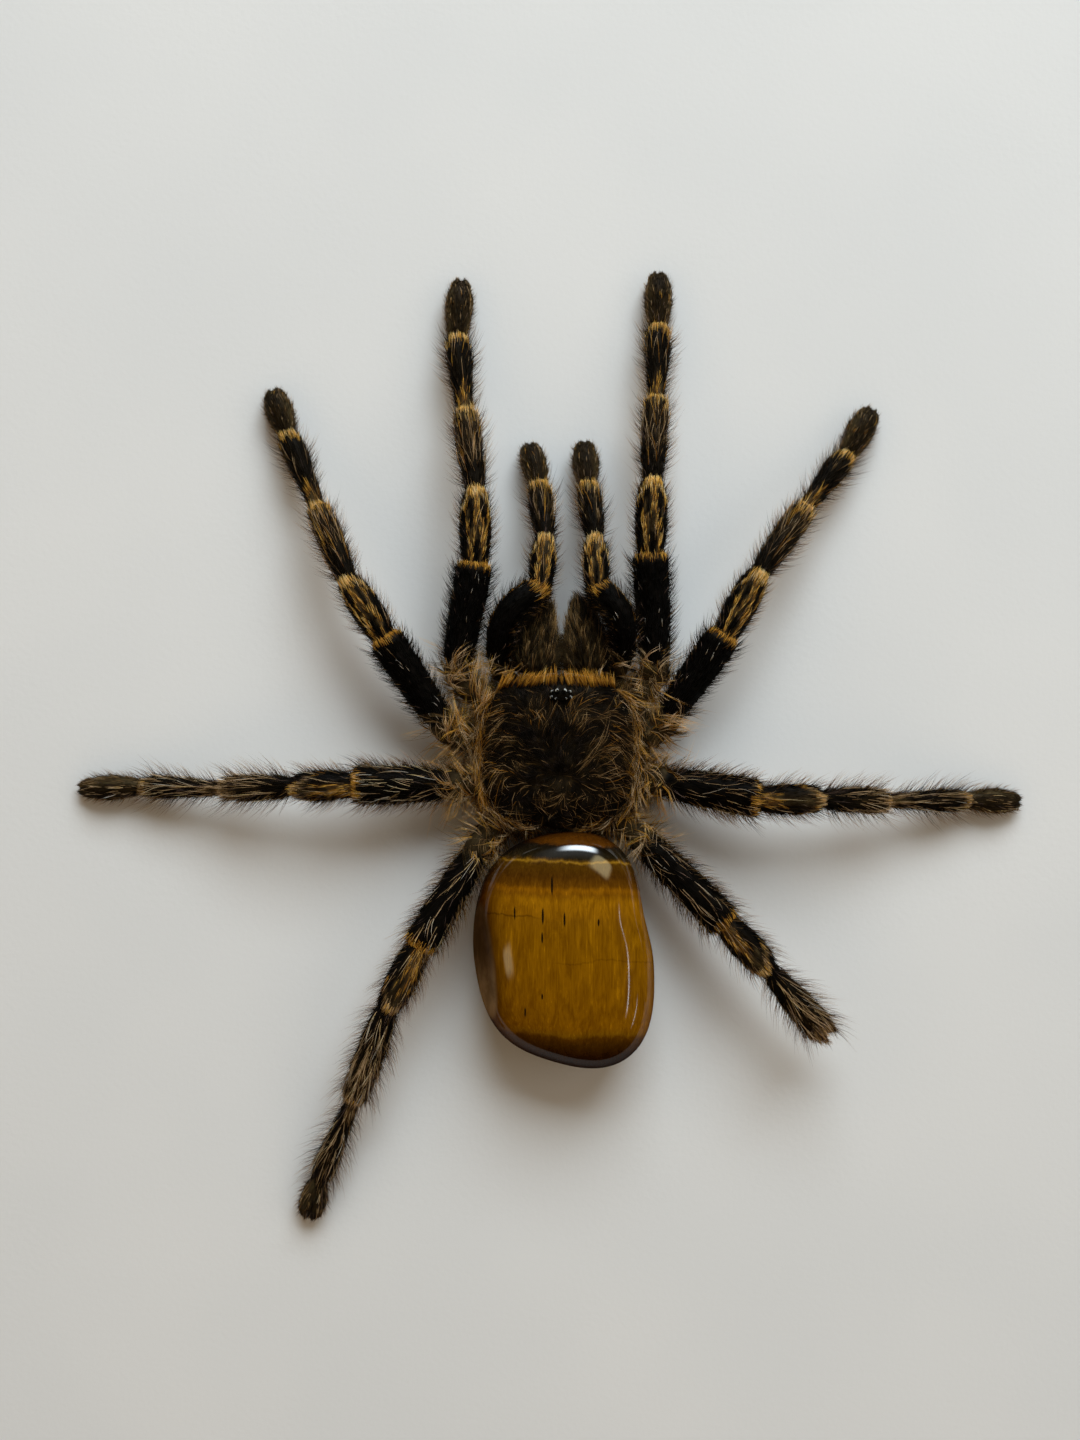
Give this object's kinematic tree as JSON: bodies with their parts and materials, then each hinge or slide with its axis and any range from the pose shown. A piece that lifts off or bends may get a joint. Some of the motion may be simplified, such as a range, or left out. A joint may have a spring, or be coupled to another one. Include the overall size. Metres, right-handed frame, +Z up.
{
  "type": "dried tarantula specimen with a tumbled stone abdomen",
  "caption": "Spread dried tarantula, furry and dark with gold-ringed legs, a polished tiger's-eye pebble in place of its abdomen; it lies flat on a surface.",
  "frame": {"origin": "on the surface that the specimen lies on, under the middle of its leg span", "axes": "+X towards the specimen's own right, +Y towards its head, +Z up from the surface"},
  "size_m": [0.1494, 0.1501, 0.016],
  "materials": {
    "carapace_fur": "matt dark brown fur with a ginger fringe",
    "jaw_fur": "matt grey-brown fur lying forwards",
    "leg_fur": "velvet black-brown fur with gold rings and stripes",
    "tigers_eye": "high polish, silky golden-brown bands"
  },
  "bodies": {
    "root": {"cephalothorax": "carapace_fur", "chelicera_left": "jaw_fur", "chelicera_right": "jaw_fur", "pedipalp_left": "leg_fur", "pedipalp_right": "leg_fur", "leg_1_left": "leg_fur", "leg_1_right": "leg_fur", "leg_2_left": "leg_fur", "leg_2_right": "leg_fur", "leg_3_left": "leg_fur", "leg_3_right": "leg_fur", "leg_4_left": "leg_fur", "leg_4_right": "leg_fur", "stone_abdomen": "tigers_eye"}
  },
  "joints": []
}
